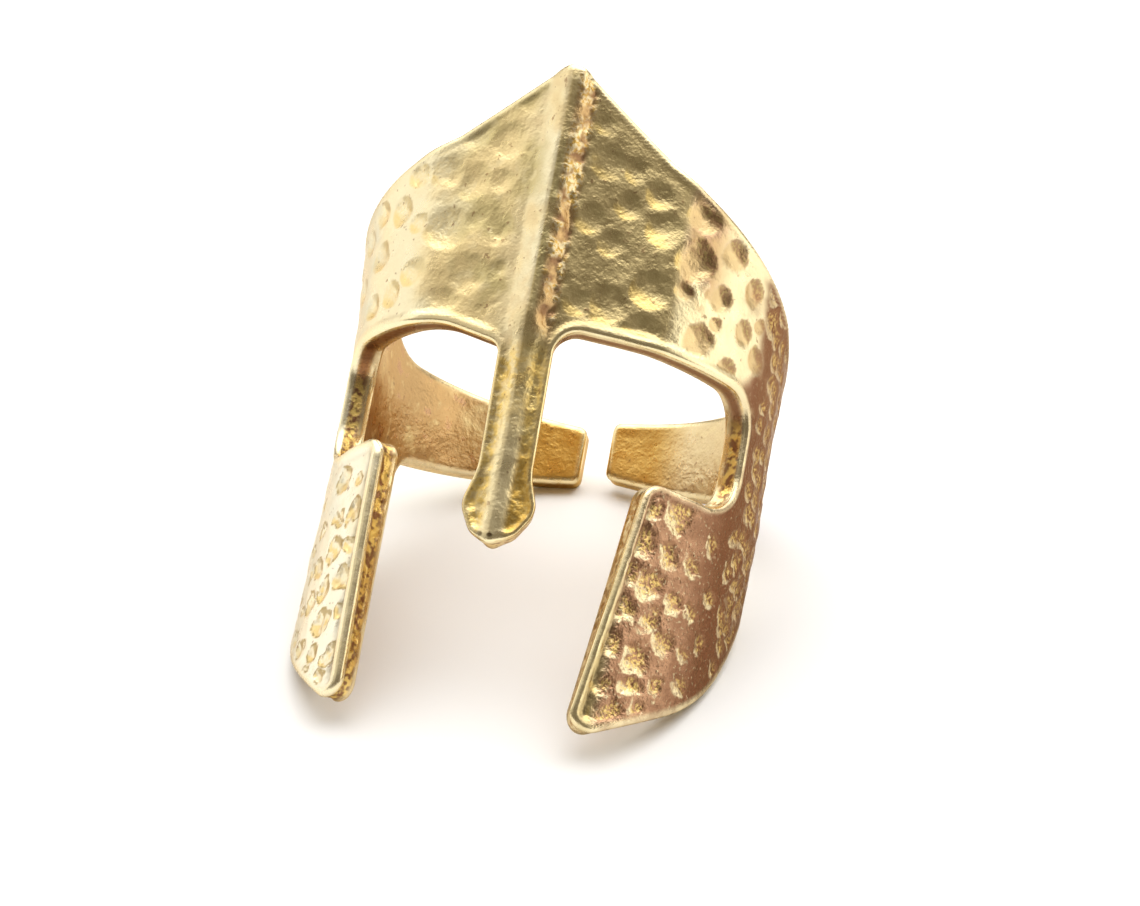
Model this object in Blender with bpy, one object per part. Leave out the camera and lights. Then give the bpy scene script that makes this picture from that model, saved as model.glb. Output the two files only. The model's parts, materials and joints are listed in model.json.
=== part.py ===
"""Brass finger ring in the form of a Greek helmet.

One casting. It is drawn as a flat blank, with one outline for the crown, the
eyes, the nose guard, the cheek guards and the band. The blank gets its ridge,
rims and hammer marks, is bent round the finger, and leans back on the surface
as an open ring does when it is put down.

Flat blank: X runs along the wall from the ridge to the wearer's left, Y runs
up from the middle of the band. Ring: Z is the finger's axis and the face looks
towards -Y. The source works in millimetres, and MM turns them into metres.
"""
import math
import random

import bmesh
import bpy
import numpy as np
from mathutils import Matrix

MM = 0.001

# Wall and the way it is bent.
INNER_RADIUS = 9.5
WALL = 1.3
PLATE_ANGLE = math.radians(15.0)     # each front plate falls back by this from the ridge
SIDE_ANGLE = math.radians(38.0)      # the round side of the ring begins here
CREASE_RADIUS = 3.0                  # bend between a front plate and the side
KEEL_LEAN = 0.08                     # the ridge comes forward by this share as it climbs
KEEL_BOW = 0.35                      # the peak is bent this far to the wearer's left
CHEEK_SLANT = 0.03                   # both cheek guards lean to the wearer's right by this share

# Heights, each from the one before it.
BAND_WIDTH = 3.1
BROW_ABOVE_BAND = 0.5                # brow line above the middle of the band
CROWN_RISE = 13.4                    # peak above the brow line
EYE_HEIGHT = 6.4                     # brow line to the outer corner of the eye's floor
CHEEK_LENGTH = 13.0                  # eye floor to the tip of a cheek guard
NOSE_LENGTH = 10.7                   # brow line to the tip of the nose guard

# Distances along the wall, from the ridge.
EYE_REACH = 12.4                     # outer end of an eye
SIDE_WIDTH = 4.9                     # wall behind the eye
CHEEK_FRONT = 6.4                    # front edge of a cheek guard at its top
CHEEK_TOE_IN = 0.8                   # how much nearer the ridge its tip is
NOSE_WIDTH = 2.5
SPADE_WIDTH = 3.7                    # widest part of the nose guard, near its tip
BAND_GAP = 1.4

# The ring is cut, filed and bent by hand, so its halves differ. All but the flare are shares of
# the size named first, and the flare is how far a side stands out for each mm above the band.
HALVES = {
    "right": {
        "crown flare": 0.03,
        "crown rise, temple": 0.348,
        "crown rise, shoulder": 0.668,
        "band width, end": 0.16,
        "cheek front, turn": 0.045,
        "eye height, cheek step": 0.03,
        "eye height, brow": 0.05,
        "nose width, brow fillet": 0.48,
        "nose width, neck": 0.55,
        "spade width, spade": 0.54,
    },
    "left": {
        "crown flare": 0.09,
        "crown rise, temple": 0.42,
        "crown rise, shoulder": 0.684,
        "band width, end": 0.0,
        "cheek front, turn": 0.0,
        "eye height, cheek step": 0.13,
        "eye height, brow": -0.13,
        "nose width, brow fillet": 0.24,
        "nose width, neck": 0.45,
        "spade width, spade": 0.45,
    },
}

# Relief on the outer face.
RIDGE_WIDTH = 1.3
RIDGE_RISE = 0.5
RIM_WIDTH = 0.35                     # from the edge to the top of its rim
EDGE_ROUND = 0.22
DENT_SPACING = 1.75
DENT_DEPTH = 0.16

# Fineness of the facets.
CELL = 0.66
ARC_STEP = 0.55

MIDDLE = INNER_RADIUS + WALL / 2
BROW = BROW_ABOVE_BAND
EYE_FLOOR = BROW - EYE_HEIGHT
PEAK = BROW + CROWN_RISE
NOSE_TIP = BROW - NOSE_LENGTH
SIDE_REAR = EYE_REACH + SIDE_WIDTH


def clear_scene():
    for obj in list(bpy.data.objects):
        bpy.data.objects.remove(obj, do_unlink=True)


def plate_length():
    """Flat length of a front plate, from the ridge to where the crease starts."""
    start_x = (MIDDLE - CREASE_RADIUS) * math.sin(SIDE_ANGLE) + CREASE_RADIUS * math.sin(PLATE_ANGLE)
    return start_x / math.cos(PLATE_ANGLE)


PLATE = plate_length()
CREASE_END = PLATE + CREASE_RADIUS * (SIDE_ANGLE - PLATE_ANGLE)


def band_end():
    """Distance along the wall to the band's end, so that the two ends leave the gap between them."""
    half_gap = math.asin(BAND_GAP / 2 / MIDDLE)
    return CREASE_END + (math.pi - half_gap - SIDE_ANGLE) * MIDDLE


def half_outline(half):
    """Corners of one half, from the peak round to the nose tip: along, up, radius, rim rise.

    The rim rise belongs to the edge that starts at the corner.
    """
    end = band_end()
    hand = HALVES[half]
    front = CHEEK_FRONT * (1 + hand["cheek front, turn"])
    tip = CHEEK_FRONT * (1 - hand["cheek front, turn"]) - CHEEK_TOE_IN
    cheek_step = hand["eye height, cheek step"] * EYE_HEIGHT
    end_rise = hand["band width, end"] * BAND_WIDTH
    temple, shoulder = hand["crown rise, temple"], hand["crown rise, shoulder"]
    brow, fillet = hand["eye height, brow"], hand["nose width, brow fillet"]
    neck, spade = hand["nose width, neck"] * NOSE_WIDTH, hand["spade width, spade"] * SPADE_WIDTH
    return [
        ("peak", 0.0, PEAK, 0.9, 0.10),
        ("shoulder", 0.53 * EYE_REACH, BROW + shoulder * CROWN_RISE, 15.0, 0.08),
        ("temple", EYE_REACH + 0.53 * SIDE_WIDTH, BROW + temple * CROWN_RISE, 4.0, 0.05),
        ("band root, top", SIDE_REAR + 0.33 * SIDE_WIDTH, 0.77 * BAND_WIDTH, 4.0, 0.0),
        ("band end, top", end, 0.5 * BAND_WIDTH + end_rise, 0.5, 0.0),
        ("band end, low", end, -0.5 * BAND_WIDTH + end_rise, 0.5, 0.0),
        ("band root, low", SIDE_REAR + 0.55 * SIDE_WIDTH, -0.97 * BAND_WIDTH, 1.2, 0.0),
        ("cheek, rear", SIDE_REAR, EYE_FLOOR - 0.29 * CHEEK_LENGTH, 4.0, 0.05),
        ("cheek, belly", 1.03 * EYE_REACH, EYE_FLOOR - 0.72 * CHEEK_LENGTH, 12.0, 0.08),
        ("cheek, tip", tip, EYE_FLOOR - CHEEK_LENGTH, 0.9, 0.25),
        ("cheek, top", front, EYE_FLOOR + cheek_step, 0.9, 0.18),
        ("eye, low", EYE_REACH, EYE_FLOOR, 2.2, 0.12),
        ("eye, high", EYE_REACH, BROW - 0.05 * EYE_HEIGHT, 2.0, 0.15),
        ("brow, bend", 0.36 * EYE_REACH, BROW + 0.03 * EYE_HEIGHT, 5.0, 0.15),
        ("brow", neck, BROW + brow * EYE_HEIGHT, fillet * NOSE_WIDTH, 0.18),
        ("nose, neck", neck, BROW - 0.66 * NOSE_LENGTH, 3.0, 0.18),
        ("nose, spade", spade, BROW - 0.82 * NOSE_LENGTH, 1.2, 0.15),
        ("nose, lip", 0.58 * spade, BROW - 0.94 * NOSE_LENGTH, 1.0, 0.15),
        ("nose, tip", 0.0, NOSE_TIP, 0.6, 0.15),
    ]


def whole_outline():
    """The closed outline: the right half, then the left one back from the nose to the peak."""
    right = [corner[1:] for corner in half_outline("right")]
    mirrored = [corner[1:] for corner in half_outline("left")]
    left = []
    for i in range(len(mirrored) - 2, 0, -1):
        along, up, radius, _ = mirrored[i]
        # Read backwards, the edge that starts at a corner is the one before it.
        left.append((-along, up, radius, mirrored[i - 1][3]))
    nose = right[-1][:3] + (right[-2][3],)
    return right[:-1] + [nose] + left


def corner_arc(before, corner, after, radius):
    """Points of the arc that rounds one corner, kept within half of each edge."""
    to_before = (before - corner) / np.linalg.norm(before - corner)
    to_after = (after - corner) / np.linalg.norm(after - corner)
    half_angle = math.acos(np.clip(to_before @ to_after, -1, 1)) / 2
    room = 0.48 * min(np.linalg.norm(before - corner), np.linalg.norm(after - corner))
    reach = min(radius / math.tan(half_angle), room)
    radius = reach * math.tan(half_angle)
    middle = to_before + to_after
    centre = corner + middle / np.linalg.norm(middle) * radius / math.sin(half_angle)
    first, last = corner + to_before * reach - centre, corner + to_after * reach - centre
    start = math.atan2(first[1], first[0])
    turn = (math.atan2(last[1], last[0]) - start + math.pi) % (2 * math.pi) - math.pi
    steps = max(2, round(abs(turn) * radius / ARC_STEP), round(abs(turn) / math.radians(30)))
    angles = [start + turn * i / steps for i in range(steps + 1)]
    return [centre + radius * np.array([math.cos(a), math.sin(a)]) for a in angles]


def outline_points():
    """The outline with its corners rounded, and the rim rise at each point."""
    corners = whole_outline()
    points, rims = [], []
    for i, (along, up, radius, rim) in enumerate(corners):
        before, after = corners[i - 1], corners[(i + 1) % len(corners)]
        arc = corner_arc(np.array(before[:2]), np.array([along, up]), np.array(after[:2]), radius)
        points += arc
        rims += list(np.linspace(before[3], rim, len(arc)))
    return np.array(points), np.array(rims)


def nearest_edge(places, points, rims):
    """For each place on the blank, its distance to the outline and the rim rise at the nearest point."""
    after, rims_after = np.roll(points, -1, axis=0), np.roll(rims, -1)
    distance = np.full(len(places), np.inf)
    rim = np.zeros(len(places))
    for a, b, rim_a, rim_b in zip(points, after, rims, rims_after):
        along = b - a
        share = np.clip((places - a) @ along / max(along @ along, 1e-12), 0, 1)
        gap = np.linalg.norm(places - a - share[:, None] * along, axis=1)
        closer = gap < distance
        distance = np.where(closer, gap, distance)
        rim = np.where(closer, rim_a + share * (rim_b - rim_a), rim)
    return distance, rim


def cut_lines(low, high, fixed=()):
    """Places of the cuts between two limits: the fixed ones, and even ones away from them."""
    count = math.ceil((high - low) / CELL)
    even = [low + (high - low) * (i + 0.5) / count for i in range(count)]
    return sorted(list(fixed) + [x for x in even if all(abs(x - f) > 0.45 * CELL for f in fixed)])


def flat_blank():
    """A flat sheet with the ring's outline, an edge strip and a grid of cells."""
    points, _ = outline_points()
    bm = bmesh.new()
    bm.faces.new([bm.verts.new((x, y, 0.0)) for x, y in points])
    bmesh.ops.inset_region(bm, faces=bm.faces[:], thickness=RIM_WIDTH, use_even_offset=True)
    half = RIDGE_WIDTH / 2
    ridge = [-half, -half / 2, 0.0, half / 2, half]
    reach, top, low = points[:, 0].max(), points[:, 1].max(), points[:, 1].min()
    for x in cut_lines(-reach, reach, ridge):
        cut(bm, (x, 0, 0), (1, 0, 0))
    for y in cut_lines(low, top):
        cut(bm, (0, y, 0), (0, 1, 0))
    bmesh.ops.remove_doubles(bm, verts=bm.verts, dist=0.02)
    bmesh.ops.dissolve_degenerate(bm, edges=bm.edges, dist=0.01)
    return bm


def cut(bm, place, normal):
    geometry = bm.verts[:] + bm.edges[:] + bm.faces[:]
    bmesh.ops.bisect_plane(bm, geom=geometry, plane_co=place, plane_no=normal, dist=1e-4)


def hammer_marks():
    """Centre, radius and depth of each dent, on a jittered lattice over the blank."""
    chance = random.Random(11)
    marks = []
    rows = math.ceil((PEAK - EYE_FLOOR + CHEEK_LENGTH) / (0.87 * DENT_SPACING))
    columns = math.ceil(2 * SIDE_REAR / DENT_SPACING) + 1
    for row in range(rows):
        for column in range(columns):
            along = (column + 0.5 * (row % 2)) * DENT_SPACING - SIDE_REAR
            up = PEAK - row * 0.87 * DENT_SPACING
            along += chance.uniform(-0.28, 0.28) * DENT_SPACING
            up += chance.uniform(-0.28, 0.28) * DENT_SPACING
            radius = DENT_SPACING * chance.uniform(0.42, 0.58)
            depth = DENT_DEPTH * chance.uniform(0.6, 1.0) * hammered(along, up)
            if depth > 0:
                marks.append((along, up, radius, depth))
    return np.array(marks)


def hammered(along, up):
    """How hard the outer face is hammered: softly on the front plates, fully on sides and cheeks."""
    if abs(along) < RIDGE_WIDTH or abs(along) > SIDE_REAR:
        return 0.0
    on_plate = up > BROW and abs(along) < CREASE_END
    return 0.45 if on_plate else 1.0


def relief(along, up):
    """Rise of the outer face over the plain wall, at arrays of places on the blank."""
    distance, rim = nearest_edge(np.column_stack([along, up]), *outline_points())
    marks = hammer_marks()
    ridge = RIDGE_RISE * np.clip(1 - (2 * along / RIDGE_WIDTH) ** 2, 0, 1)
    rim = rim * np.clip(1 - np.abs(distance / RIM_WIDTH - 1), 0, 1)
    apart = np.hypot(along[:, None] - marks[:, 0], up[:, None] - marks[:, 1]) / marks[:, 2]
    dents = (marks[:, 3] * np.clip(1 - apart**2, 0, 1)).max(1) * np.clip(distance / RIM_WIDTH - 1, 0, 1)
    worn_edge = EDGE_ROUND * np.clip(1 - distance / RIM_WIDTH, 0, 1)
    return np.maximum(ridge, rim) - dents - worn_edge


def bend(along, up, out):
    """Place of one point of the blank once it is bent: its distance out is from the wall's middle."""
    side = math.copysign(1.0, along)
    along = abs(along)
    reach = MIDDLE - CREASE_RADIUS
    crease_x = reach * math.sin(SIDE_ANGLE)
    crease_y = -reach * math.cos(SIDE_ANGLE)
    bow = 0.0
    if along < PLATE:
        angle = PLATE_ANGLE * min(1.0, 2 * along / RIDGE_WIDTH)
        back = PLATE - along
        x = crease_x + CREASE_RADIUS * math.sin(PLATE_ANGLE) - back * math.cos(PLATE_ANGLE)
        y = crease_y - CREASE_RADIUS * math.cos(PLATE_ANGLE) - back * math.sin(PLATE_ANGLE)
        y -= KEEL_LEAN * up * back / PLATE
        bow = KEEL_BOW * max(0.0, up / PEAK) * back / PLATE
    elif along < CREASE_END:
        angle = PLATE_ANGLE + (along - PLATE) / CREASE_RADIUS
        x = crease_x + CREASE_RADIUS * math.sin(angle)
        y = crease_y - CREASE_RADIUS * math.cos(angle)
    else:
        angle = SIDE_ANGLE + (along - CREASE_END) / MIDDLE
        x = MIDDLE * math.sin(angle)
        y = -MIDDLE * math.cos(angle)
    hand = HALVES["right" if side > 0 else "left"]
    x += hand["crown flare"] * max(0.0, up) * math.sin(angle) ** 2
    slant = CHEEK_SLANT * max(0.0, EYE_FLOOR - up)
    return side * (x + out * math.sin(angle)) + bow - slant, y - out * math.cos(angle), up


def shape_wall(bm):
    """Gives the sheet its thickness and relief, and bends it round the finger."""
    bmesh.ops.solidify(bm, geom=bm.faces[:], thickness=WALL)
    verts = bm.verts[:]
    along = np.array([v.co.x for v in verts])
    up = np.array([v.co.y for v in verts])
    depth = np.array([v.co.z for v in verts])
    outer = depth > (depth.max() + depth.min()) / 2
    rise = relief(along, up)
    for vert, is_outer, a, u, r in zip(verts, outer, along, up, rise):
        out = WALL / 2 + r if is_outer else -WALL / 2
        vert.co = bend(a, u, out)


def centroid(bm):
    """Centre of mass of the closed mesh, from the tetrahedra under its triangles."""
    total, moment = 0.0, np.zeros(3)
    for a, b, c in (tuple(np.array(loop.vert.co) for loop in tri) for tri in bm.calc_loop_triangles()):
        volume = float(np.dot(a, np.cross(b, c))) / 6
        total += volume
        moment += volume * (a + b + c) / 4
    return moment / total


def lower_hull(points):
    """Corners of the lower side of the outline of points, from the front to the back."""
    hull = []
    for p in sorted(map(tuple, points)):
        while len(hull) > 1:
            (ax, ay), (bx, by) = hull[-2], hull[-1]
            if (bx - ax) * (p[1] - ay) - (by - ay) * (p[0] - ax) > 0:
                break
            hull.pop()
        hull.append(p)
    return hull


def resting_lean(bm):
    """The furthest lean back at which the ring's weight falls between the points that it rests on."""
    weight = centroid(bm)[1:]
    hull = lower_hull([(v.co.y, v.co.z) for v in bm.verts])
    leans = [0.0]
    for front, back in zip(hull, hull[1:]):
        lean = math.atan2(back[1] - front[1], back[0] - front[0])
        across = [p[0] * math.cos(lean) + p[1] * math.sin(lean) for p in (front, weight, back)]
        if across[0] <= across[1] <= across[2]:
            leans.append(lean)
    return max(leans)


def stand_at_rest(bm):
    """Leans the ring back, sets it on the surface and centres it over the origin."""
    bm.transform(Matrix.Rotation(-resting_lean(bm), 4, "X"))
    places = np.array([v.co for v in bm.verts])
    low, high = places.min(0), places.max(0)
    middle = (low + high) / 2
    bm.transform(Matrix.Translation((-middle[0], -middle[1], -low[2])))
    bm.transform(Matrix.Scale(MM, 4))


def brass():
    material = bpy.data.materials.new("brass")
    material.use_nodes = True
    shader = material.node_tree.nodes["Principled BSDF"]
    shader.inputs["Base Color"].default_value = (0.62, 0.45, 0.19, 1.0)
    shader.inputs["Metallic"].default_value = 1.0
    shader.inputs["Roughness"].default_value = 0.32
    return material


def build_ring():
    bm = flat_blank()
    shape_wall(bm)
    bmesh.ops.triangulate(bm, faces=bm.faces[:])
    bmesh.ops.recalc_face_normals(bm, faces=bm.faces)
    stand_at_rest(bm)
    mesh = bpy.data.meshes.new("helmet_ring")
    bm.to_mesh(mesh)
    bm.free()
    mesh.shade_smooth()
    mesh.set_sharp_from_angle(angle=math.radians(40))
    mesh.materials.append(brass())
    ring = bpy.data.objects.new("helmet_ring", mesh)
    bpy.context.scene.collection.objects.link(ring)
    return ring


clear_scene()
build_ring()
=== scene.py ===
"""Looks of the brass helmet ring: its fine hammered surface, its brass and its studio.

The ring is modelled as its maker would cut it: a flat blank in millimetres, with
X along the wall from the ridge and Y up from the middle of the band. The blank gets
its relief, is bent round a mandrel and is set into the frame at its resting lean.
"""
import json
import math

import bmesh
import bpy
import numpy as np
from mathutils import Matrix, Vector


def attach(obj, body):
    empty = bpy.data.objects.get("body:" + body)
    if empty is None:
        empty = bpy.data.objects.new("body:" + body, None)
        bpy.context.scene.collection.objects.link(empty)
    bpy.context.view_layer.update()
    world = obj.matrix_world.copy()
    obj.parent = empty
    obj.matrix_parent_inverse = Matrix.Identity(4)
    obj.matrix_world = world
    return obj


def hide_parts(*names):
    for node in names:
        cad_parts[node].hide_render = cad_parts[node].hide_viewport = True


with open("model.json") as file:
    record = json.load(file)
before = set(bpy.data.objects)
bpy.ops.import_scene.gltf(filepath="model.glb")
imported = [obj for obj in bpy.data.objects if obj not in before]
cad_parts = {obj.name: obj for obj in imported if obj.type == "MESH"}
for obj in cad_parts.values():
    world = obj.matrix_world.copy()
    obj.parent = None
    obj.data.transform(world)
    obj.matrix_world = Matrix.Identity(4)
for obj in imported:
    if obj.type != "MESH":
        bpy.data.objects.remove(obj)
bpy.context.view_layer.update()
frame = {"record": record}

MM = 0.001
PHOTO_WIDTH = 1140                   # pixels

# Wall and the way it is bent, in millimetres.
INNER_RADIUS = 9.5
WALL = 1.3
PLATE_ANGLE = math.radians(15.0)
SIDE_ANGLE = math.radians(38.0)
CREASE_RADIUS = 3.0
KEEL_LEAN = 0.08
KEEL_BOW = 0.35                      # the peak is bent this far towards +X
CHEEK_SLANT = 0.03                   # both cheek guards lean towards -X by this share

# Heights, each from the one before it.
BAND_WIDTH = 3.1
BROW_ABOVE_BAND = 0.5
CROWN_RISE = 13.4
EYE_HEIGHT = 6.4
CHEEK_LENGTH = 13.0
NOSE_LENGTH = 10.7

# Distances along the wall, from the ridge.
EYE_REACH = 12.4
SIDE_WIDTH = 4.9
CHEEK_FRONT = 6.4
CHEEK_TOE_IN = 0.8
NOSE_WIDTH = 2.5
SPADE_WIDTH = 3.7
BAND_GAP = 1.4

# The ring is filed and bent without a jig, so its halves differ. All but the flare are shares of
# the size named first, and the flare is how far a side stands out for each mm above the band.
HALVES = {
    "right": {
        "crown flare": 0.03,
        "crown rise, temple": 0.348,
        "crown rise, shoulder": 0.668,
        "band width, end": 0.16,
        "cheek front, turn": 0.045,
        "eye height, cheek step": 0.03,
        "eye height, brow": 0.05,
        "nose width, brow fillet": 0.48,
        "nose width, neck": 0.55,
        "spade width, spade": 0.54,
    },
    "left": {
        "crown flare": 0.09,
        "crown rise, temple": 0.42,
        "crown rise, shoulder": 0.684,
        "band width, end": 0.0,
        "cheek front, turn": 0.0,
        "eye height, cheek step": 0.13,
        "eye height, brow": -0.13,
        "nose width, brow fillet": 0.24,
        "nose width, neck": 0.45,
        "spade width, spade": 0.45,
    },
}

# Relief.
RIDGE_TOP = (0.03, 0.27)             # flat top of the ridge, left and right edge
RIDGE_FOOT = (-0.95, 1.00)           # where its two flanks meet the plates
RIDGE_RISE = 0.50
RIDGE_HOLLOW = 1.25                  # power over 1, so that its left flank is a little hollow
RIDGE_WANDER = 0.34                  # how far the foot of its right flank wanders
RIDGE_TURN = 0.65                    # the two plates' directions are blended this near to the ridge
NOSE_KEEL = (0.08, 0.75, 0.24)       # where the nose guard's keel runs, its half width and its rise
CHEEK_BEAD = {"right": 0.36, "left": 0.50}    # rim width on a cheek guard's front edge
DENT_SPREAD = 1.22                   # the charts below were read a little small
DENT_SHADE_WAY = (0.6, 0.8)          # along and up, from a dent's wall with a painted highlight to its wall with painted shade
DENT_WARP, CHEEK_WARP = 0.16, 0.26   # how far a dent's outline strays, and how much more on the cheeks
DENT_WARP_WIDTH = 0.9
DENT_CUP = 1.15                      # power of a dent's hollow
DENT_PROBE = 0.07                    # how far off a dent's slope is felt, to either side
STEEPEST_WALL = 0.25
EDGE_ROUND = 0.20
INNER_ROUND = 0.30
CUT_GROOVE = 0.42                    # groove in a cheek guard's cut front, below the outer face
CUT_GROOVE_DEPTH, CUT_GROOVE_WIDTH = 0.10, 0.09
SAWN_DEPTH, SAWN_GRAIN = 0.055, 0.09     # how far the cut front falls back past its groove
PLAIN_CUT = 0.02                     # how far the other cut edges do
BEAD_END = 1.29                      # where a rim's bead ends, in rim widths from the edge
GROOVE_DEPTH, GROOVE_WIDTH = 0.09, 0.11
VOXEL = 0.137                        # width of the skin's squares
ARC_STEP = 0.16                      # about one step round a corner

# Unevenness of the casting: how wide its bumps are and how high.
WAVE_WIDTH, WAVE_HEIGHT = 1.9, 0.060
LUMP_WIDTH, LUMP_HEIGHT = 1.1, 0.026
GRAIN_WIDTH = 0.42
PLAIN_GRAIN, CHEEK_GRAIN, DENT_GRAIN = 0.006, 0.034, 0.010   # the last two come on top of the first
PIT_WIDTH, PIT_DEPTH = 0.5, 0.10
FLANK_WIDTH, FLANK_HEIGHT = 0.46, 0.17
FLANK_GRAIN_WIDTH, FLANK_GRAIN_HEIGHT = 0.2, 0.04
HOLLOW_DEPTH, HOLLOW_GRAIN = 0.07, 0.08
INNER_WAVE_WIDTH, INNER_WAVE_HEIGHT = 2.4, 0.04
INNER_LUMP_WIDTH, INNER_LUMP_HEIGHT = 0.7, 0.012

# The right plate is smoother, and the strip left of the ridge more pitted. The first pair is where
# it fades in going right, the second where it does going left, counted leftwards from the ridge.
SMOOTH_PLATE = ((0.6, 1.6), (-6.6, -5.6))
PITTED_STRIP = ((-3.4, -2.4), (0.9, 1.3))
ABOVE_BROW = (0.5, 1.5)

MIDDLE = INNER_RADIUS + WALL / 2
BROW = BROW_ABOVE_BAND
EYE_FLOOR = BROW - EYE_HEIGHT
PEAK = BROW + CROWN_RISE
NOSE_TIP = BROW - NOSE_LENGTH
SIDE_REAR = EYE_REACH + SIDE_WIDTH

# Hammer marks, charted on the blank: along, up, radius, depth.
CROWN_DENTS_RIGHT = [
    (7.2, 7.9, 0.78, 0.20), (7.2, 5.6, 0.92, 0.22), (9.2, 6.6, 0.72, 0.20), (8.9, 4.2, 0.60, 0.18),
    (10.9, 5.3, 0.62, 0.18), (12.7, 5.9, 0.55, 0.15), (10.7, 3.2, 0.58, 0.16), (8.0, 1.8, 0.80, 0.17),
    (10.0, 0.95, 0.60, 0.14), (13.0, 4.6, 0.70, 0.14), (6.9, 3.9, 0.45, 0.12), (12.0, 2.2, 0.60, 0.12),
    (14.2, 2.9, 0.55, 0.12), (14.6, 5.4, 0.50, 0.10), (8.8, 2.9, 0.38, 0.08), (11.9, 3.9, 0.40, 0.08),
    (5.4, 6.7, 0.72, 0.15), (5.1, 8.4, 0.60, 0.11), (5.4, 3.6, 0.86, 0.17), (5.3, 1.5, 0.72, 0.17),
    (3.5, 2.4, 0.85, 0.11), (3.6, 7.5, 0.60, 0.09), (2.0, 6.4, 0.70, 0.10), (3.2, 5.4, 0.60, 0.08),
    (2.0, 2.2, 0.60, 0.09), (2.3, 9.4, 0.80, 0.08), (3.7, 9.3, 0.60, 0.07), (1.8, 11.2, 0.50, 0.06),
]
CROWN_DENTS_LEFT = [
    (-5.1, 5.5, 1.00, 0.17), (-4.5, 10.6, 0.80, 0.11), (-2.6, 10.0, 0.85, 0.11), (-1.8, 12.0, 0.55, 0.07),
    (-2.6, 7.9, 0.55, 0.09), (-6.6, 3.4, 0.70, 0.14), (-8.0, 6.7, 0.70, 0.15), (-7.0, 8.4, 0.60, 0.13),
    (-7.9, 2.4, 0.65, 0.13), (-6.6, 5.9, 0.50, 0.10), (-9.4, 4.6, 0.72, 0.16), (-9.8, 7.0, 0.62, 0.14),
    (-9.6, 2.0, 0.60, 0.14), (-11.2, 5.7, 0.60, 0.13), (-11.4, 3.2, 0.60, 0.13), (-13.0, 4.4, 0.60, 0.12),
    (-13.2, 2.0, 0.55, 0.12), (-12.8, 6.6, 0.50, 0.10), (-3.5, 3.2, 0.95, 0.13), (-4.1, 7.9, 0.85, 0.12),
    (-2.3, 5.4, 0.80, 0.11), (-5.6, 8.5, 0.75, 0.11), (-4.6, 1.8, 0.70, 0.10), (-1.9, 3.4, 0.50, 0.08),
    (-5.9, 10.0, 0.55, 0.08), (-3.6, 6.0, 0.55, 0.07),
]
CHEEK_DENTS = [
    (8.9, -6.9, 0.72, 0.17), (7.2, -8.5, 0.66, 0.16), (8.7, -8.8, 0.52, 0.14), (6.9, -10.2, 0.55, 0.15),
    (8.1, -10.4, 0.74, 0.18), (10.3, -9.0, 0.55, 0.14), (6.9, -12.1, 0.62, 0.16), (8.3, -12.3, 0.66, 0.17),
    (9.5, -11.1, 0.55, 0.14), (9.5, -12.9, 0.58, 0.15), (8.0, -14.1, 0.76, 0.18), (8.1, -15.6, 0.55, 0.15),
    (6.7, -15.8, 0.55, 0.13), (9.5, -15.2, 0.55, 0.15), (7.0, -17.2, 0.60, 0.15), (8.6, -16.8, 0.60, 0.14),
    (11.0, -14.6, 0.48, 0.12), (10.7, -11.2, 0.46, 0.13), (7.5, -7.0, 0.45, 0.12), (11.4, -7.6, 0.50, 0.12),
    (11.9, -9.9, 0.46, 0.12), (12.0, -12.4, 0.46, 0.11), (13.0, -8.2, 0.46, 0.11), (13.4, -10.6, 0.46, 0.11),
    (14.6, -8.8, 0.42, 0.10), (14.6, -6.6, 0.46, 0.10), (13.2, -6.4, 0.46, 0.10), (10.7, -13.2, 0.42, 0.11),
    (6.4, -13.8, 0.50, 0.12), (15.8, -7.2, 0.42, 0.10),
]

# The left cheek guard's marks are the right one's, mirrored, moved along and up, and smaller.
LEFT_CHEEK_SHIFT = (-0.25, -0.35)
LEFT_CHEEK_SIZE = 0.82

# Small marks behind the charted ones: a shaken lattice that starts here and runs back and down.
REAR_DENTS_FIRST = (14.0, 7.5)
REAR_DENTS_STEP = (1.05, 1.15)
REAR_DENTS_SHAKE = 0.3
REAR_DENTS_ROWS, REAR_DENTS_COLUMNS = 24, 6
REAR_DENTS_RADIUS, REAR_DENTS_DEPTH = (0.38, 0.58), (0.06, 0.12)


def plate_length():
    start_x = (MIDDLE - CREASE_RADIUS) * math.sin(SIDE_ANGLE) + CREASE_RADIUS * math.sin(PLATE_ANGLE)
    return start_x / math.cos(PLATE_ANGLE)


PLATE = plate_length()
CREASE_END = PLATE + CREASE_RADIUS * (SIDE_ANGLE - PLATE_ANGLE)


def band_end():
    half_gap = math.asin(BAND_GAP / 2 / MIDDLE)
    return CREASE_END + (math.pi - half_gap - SIDE_ANGLE) * MIDDLE


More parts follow.
